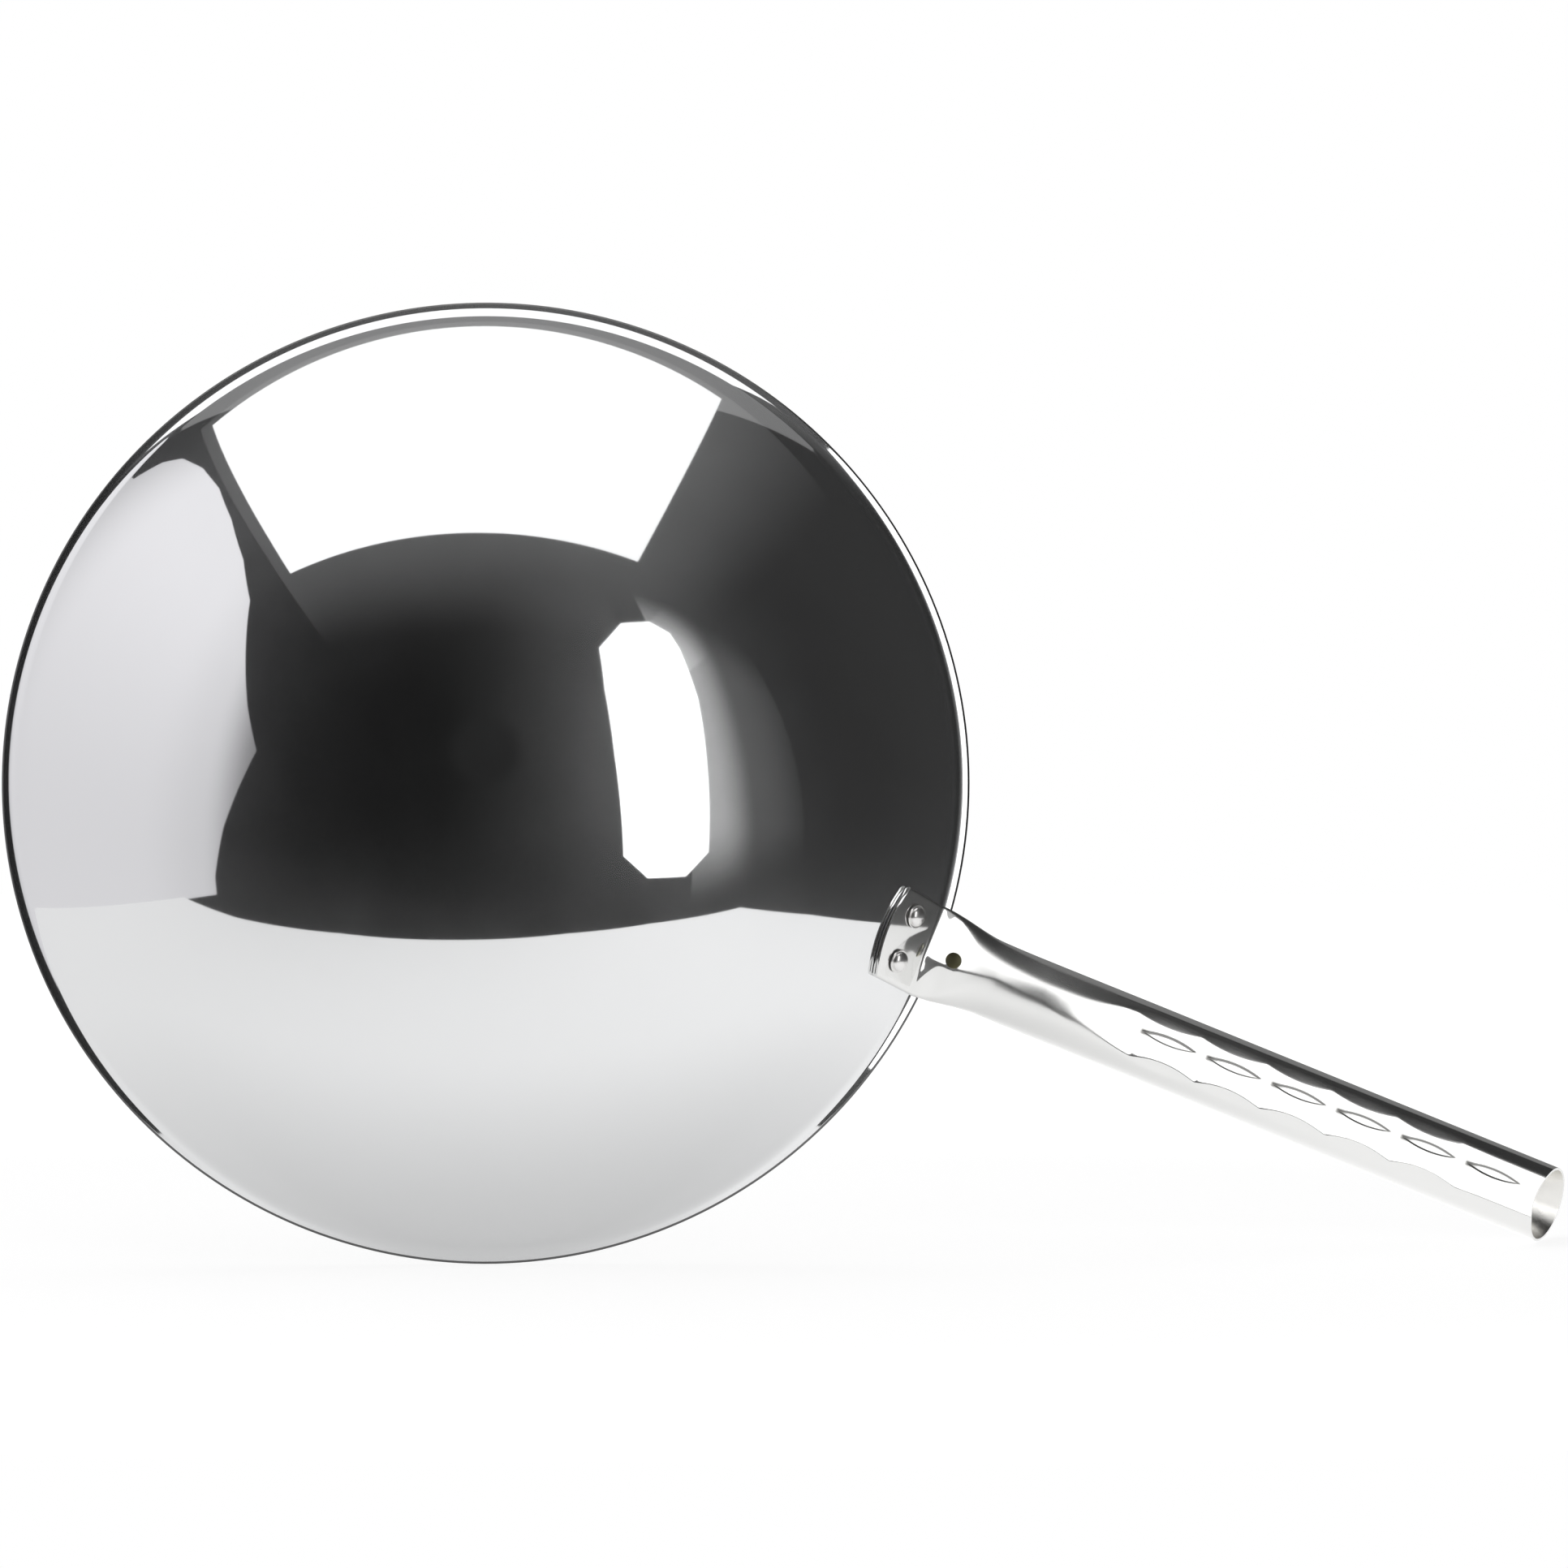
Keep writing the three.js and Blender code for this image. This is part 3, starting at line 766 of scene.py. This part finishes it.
def mirrored(pixels, axis, level):
    """Places in studio axes that the bowl's wall mirrors at some pixels of the photograph, to the millimetre.
    They lie on the plane that has this level on the given axis."""
    studio_axes = np.array([RIGHT, table_up, table_front])
    sphere = np.array([0, 0, wall_centre[1] * MM])
    radius = wall_radius * MM
    eye = np.array(camera_place)
    shift = (np.array(pixels) - PICTURE_PIXELS / 2) / FOCAL_PIXELS
    sight = np.outer(shift[:, 0], RIGHT) + np.outer(shift[:, 1], DOWN) + np.array(FORWARD)
    sight /= np.linalg.norm(sight, axis=1)[:, None]

    nearest = sight @ (sphere - eye)
    aside = np.linalg.norm(eye + sight * nearest[:, None] - sphere, axis=1)
    point = eye + sight * (nearest - np.sqrt(radius ** 2 - aside ** 2))[:, None]
    normal = (point - sphere) / radius
    bounce = sight - 2 * np.sum(sight * normal, 1)[:, None] * normal

    start = (point - np.array(STUDIO_CENTRE)) @ studio_axes.T
    way = bounce @ studio_axes.T
    places = start + way * ((level - start[:, axis]) / way[:, axis])[:, None]
    return np.round(places, 3).tolist()


def stage_mesh(name, points, faces, material, camera=False, diffuse=True):
    """Stage object whose points are in studio axes: across, up and to the front."""
    mesh = bpy.data.meshes.new(name)
    mesh.from_pydata([tuple(p) for p in points], [], faces)
    mesh.materials.append(material)
    obj = bpy.data.objects.new(name, mesh)
    bpy.context.scene.collection.objects.link(obj)
    obj.matrix_world = studio_frame
    obj.visible_camera = camera
    obj.visible_diffuse = diffuse
    obj.visible_shadow = False
    return obj


def panel(name, corners, material, camera=False, diffuse=True):
    return stage_mesh(name, corners, [tuple(range(len(corners)))], material, camera, diffuse)


def faded(graph, strength, fades):
    """Strength with its fades. Each fade is an axis with its start, stop, low and high factor."""
    if not fades:
        return strength
    axes = graph.axes(graph.place())
    level = None
    for axis, start, stop, low, high in fades:
        scale = strength if level is None else 1
        factor = graph.ramp(axes[axis], start, stop, low * scale, high * scale)
        level = factor if level is None else graph.math("MULTIPLY", level, factor)
    return level


def glow(name, color, strength, fades=(), clear=False):
    """Light panel, with fades over its axes. A clear one adds its light to what lies behind it."""
    material, graph = new_material(name)
    light = {"Color": (*color, 1), "Strength": faded(graph, strength, fades)}
    shader = graph.add("Emission", light)["Emission"]
    if clear:
        shader = graph.add("AddShader", {0: shader, 1: graph.add("BsdfTransparent")["BSDF"]})["Shader"]
    graph.surface(shader)
    return material


# Levels of the table's paint, for the camera and in mirrors, with a painted shadow round the object and painted
# light to the right in mirrors
TABLE_CAMERA = 0.85
TABLE_CAMERA_FAR = 1
TABLE_MIRROR_SHADOW = 0.49
# painted light: in mirrors the table is paler to the right, towards the strip light
TABLE_MIRROR_ENDS = (0.7, 0.84)  # at the left and at the right
TABLE_END = 0.4
# painted shadow: in mirrors the table is darker within this reach of the object
TABLE_REACH = 0.175  # how far the object darkens the table in mirrors
TABLE_SQUEEZE = (0.5, 0, 1)  # makes the reach longer across than to the front
TABLE_FAR_REACHES = (1.3, 3)  # where the camera's far level starts and is full, in reaches


def table_level_with_painted_shadow(graph):
    """Level of the table's paint: paler for the camera far from the object, and in mirrors a painted shadow near it
    and painted light to the right.
    """
    place = graph.place()
    squeezed = graph.add("Mapping", {"Vector": place, "Scale": TABLE_SQUEEZE})["Vector"]
    away = graph.add("VectorMath", {0: squeezed}, operation="LENGTH")["Value"]
    sideways = graph.ramp(graph.axes(place)["X"], -TABLE_END, TABLE_END, *TABLE_MIRROR_ENDS)
    # painted shadow near the object, and painted light to the right, in mirrors
    in_mirrors = graph.ramp(away, 0, TABLE_REACH, TABLE_MIRROR_SHADOW, sideways)
    start, full = [share * TABLE_REACH for share in TABLE_FAR_REACHES]
    seen = graph.ramp(away, start, full, TABLE_CAMERA, TABLE_CAMERA_FAR)
    return graph.blend("FLOAT", graph.add("LightPath")["Is Camera Ray"], in_mirrors, seen)


def floor_paint(name, albedo, level=None):
    """Pale floor seen from its front only: its own white, and real shadow on top.
    Without a level of its own it has the table's, with its painted shadow and painted light in mirrors."""
    material, graph = new_material(name)
    strength = table_level_with_painted_shadow(graph) if level is None else level
    emission = graph.add("Emission", {"Strength": strength})["Emission"]
    diffuse = graph.add("BsdfDiffuse", {"Color": (albedo, albedo, albedo, 1)})["BSDF"]
    front = graph.add("AddShader", {0: emission, 1: diffuse})["Shader"]
    back = graph.add("BsdfTransparent")["BSDF"]
    backfacing = graph.add("NewGeometry")["Backfacing"]
    graph.surface(graph.add("MixShader", {"Fac": backfacing, 1: front, 2: back})["Shader"])
    return material


RIM_LEVEL = -0.1742
TABLE_LEVEL = RIM_LEVEL - 0.0002  # just clear of the rim
STAGE_BACK = -1.2
seen_edge = [(a, f) for a, u, f in mirrored(TABLE_PIXELS, UP, RIM_LEVEL)]
table_edge = [(-0.9, seen_edge[0][1]), *seen_edge, (0.5, STAGE_BACK), (-0.7, STAGE_BACK)]
panel(
    "photo_table",
    [(a, TABLE_LEVEL, f) for a, f in table_edge],
    floor_paint("table_paint", 0.24),
    camera=True,
    diffuse=False,
)

CLEAR_GAP = 0.02  # how far a clear panel stands behind its light
SOFTBOX_UP = 0.7
softbox_edge = [(-0.545, 0.335), (0.415, 0.335), (0.41, -0.447), (-0.55, -0.447)]
panel(
    "top_softbox",
    [(a, SOFTBOX_UP, f) for a, f in softbox_edge],
    glow("softbox_glow", WHITE, 1.25),
)
ceiling_edge = [(-0.6, 0.8), (0.95, 0.8), (0.95, -0.5), (-0.6, -0.5)]
panel(
    "ceiling",
    [(a, SOFTBOX_UP + CLEAR_GAP, f) for a, f in ceiling_edge],
    glow("ceiling_glow", WHITE, 0.06, (("X", 0.42, 0.88, 1, 0), ("Z", 0.34, 0.8, 1, 0)), clear=True),
)

STRIP_FRONT = 0.8
panel(
    "strip_softbox",
    mirrored(STRIP_PIXELS, FRONT, STRIP_FRONT),
    glow("strip_glow", WHITE, 1.8),
)
HALO_BOTTOM, HALO_TOP = -0.3, 1.3
HALO_FADES = ("Y", HALO_BOTTOM, 0.05, 0, 1), ("Y", 0.8, HALO_TOP, 1, 0)
for name, strength, edge, start, stop in (
    ("strip_halo", 0.57, 0.8, 0.93, 1.35),
    ("strip_spill", 0.06, 0.8, 1.3, 2.6),
    ("strip_other_side", 0.03, 0.6, 0.44, -0.15),
):
    halo_edge = [(edge, HALO_BOTTOM), (stop, HALO_BOTTOM), (stop, HALO_TOP), (edge, HALO_TOP)]
    panel(
        name,
        [(a, u, STRIP_FRONT + CLEAR_GAP) for a, u in halo_edge],
        glow(name + "_glow", WHITE, strength, (("X", start, stop, 1, 0), *HALO_FADES), clear=True),
    )

REFLECTOR_ACROSS = -0.7
REFLECTOR_COLOR = (0.985, 0.975, 1)
REFLECTOR_FADES = (
    ("Y", -0.1, 0.65, 0.8, 1),
    ("Z", 0.2, 0.45, 1, 0.9),
    ("Z", 0.42, 0.64, 1, 0.32),
    ("Z", -0.75, -0.2, 0.5, 1),
)
REFLECTOR_BOTTOM = -0.18
seen_edge = [(u, f) for a, u, f in mirrored(REFLECTOR_PIXELS, ACROSS, REFLECTOR_ACROSS)]
hidden_edge = [(REFLECTOR_BOTTOM, seen_edge[-1][1]), (REFLECTOR_BOTTOM, STAGE_BACK), (0.3, STAGE_BACK)]
panel(
    "left_reflector",
    [(REFLECTOR_ACROSS, u, f) for u, f in seen_edge + hidden_edge],
    glow("reflector_glow", REFLECTOR_COLOR, 0.96, REFLECTOR_FADES),
)

BACK_WALL_FRONT = -0.9
back_edge = [(-0.9, -0.17), (0.9, -0.17), (0.9, 1.6), (-0.9, 1.6)]
panel(
    "back_wall",
    [(a, u, BACK_WALL_FRONT) for a, u in back_edge],
    glow("wall_glow", WHITE, 0.2),
)

# Dark room round the studio, seen in mirrors alone
ROOM_RADIUS = 2.4
ROOM_FADES = ("X", 0.3, ROOM_RADIUS, 0.15, 1), ("Z", -1.2, 1, 1, 0.45)
room_line = arc((0, 0), ROOM_RADIUS, 0, math.pi, ROOM_STEPS)
room_line[0, 0] = room_line[-1, 0] = 0
room_dark = glow("room_dark", WHITE, 0.036, ROOM_FADES)
stage_mesh("dark_room", *revolve(room_line, ROOM_SEGMENTS), room_dark, diffuse=False)

# Level floor under the upright part, seen by the camera alone
FLOOR_SIZE = 6
FLOOR_DROP = 0.0005
floor = panel(
    "floor",
    [(x * FLOOR_SIZE, y * FLOOR_SIZE, -FLOOR_DROP) for x, y in ((-1, -1), (1, -1), (1, 1), (-1, 1))],
    floor_paint("floor_paint", 0.5, level=0.75),
    camera=True,
    diffuse=False,
)
floor.matrix_world = Matrix.Identity(4)
floor.visible_glossy = False
floor.visible_transmission = False

# Lamp over the upright part
LAMP_PLACE = Vector((0.35, 0.6, 1.7))
LAMP_AIM = Vector((0.1, 0, 0.05))
lamp = bpy.data.lights.new("top_lamp", "AREA")
lamp.shape = "DISK"
lamp.size = 0.9
lamp.energy = 12
lamp_object = bpy.data.objects.new("top_lamp", lamp)
lamp_object.location = LAMP_PLACE
lamp_object.rotation_mode = "QUATERNION"
lamp_object.rotation_quaternion = (LAMP_AIM - LAMP_PLACE).to_track_quat("-Z", "Y")
bpy.context.scene.collection.objects.link(lamp_object)

# White world for the camera and in mirrors, and a softer light for the rest
WORLD_LIGHT = 0.35
world = bpy.data.worlds.new("studio_world")
bpy.context.scene.world = world
sky = NodeGraph(world)
ray = sky.add("LightPath")
camera_or_mirror = sky.math("MAXIMUM", ray["Is Camera Ray"], ray["Is Glossy Ray"])
white_ray = sky.math("MAXIMUM", camera_or_mirror, ray["Is Transmission Ray"])
background = {"Color": (*WHITE, 1), "Strength": sky.spread(white_ray, WORLD_LIGHT, 1)}
sky.add("OutputWorld", {"Surface": sky.add("Background", background)["Background"]})

# Camera
camera_data = bpy.data.cameras.new("photo_camera")
camera_data.sensor_width = SENSOR_WIDTH
camera_data.lens = SENSOR_WIDTH * FOCAL_PIXELS / PICTURE_PIXELS
camera = bpy.data.objects.new("photo_camera", camera_data)
camera_axes = Matrix((RIGHT, -DOWN, -FORWARD)).transposed()
camera.matrix_world = Matrix.Translation(camera_place) @ camera_axes.to_4x4()
bpy.context.scene.collection.objects.link(camera)
bpy.context.scene.camera = camera

bpy.context.scene.view_settings.view_transform = "Standard"
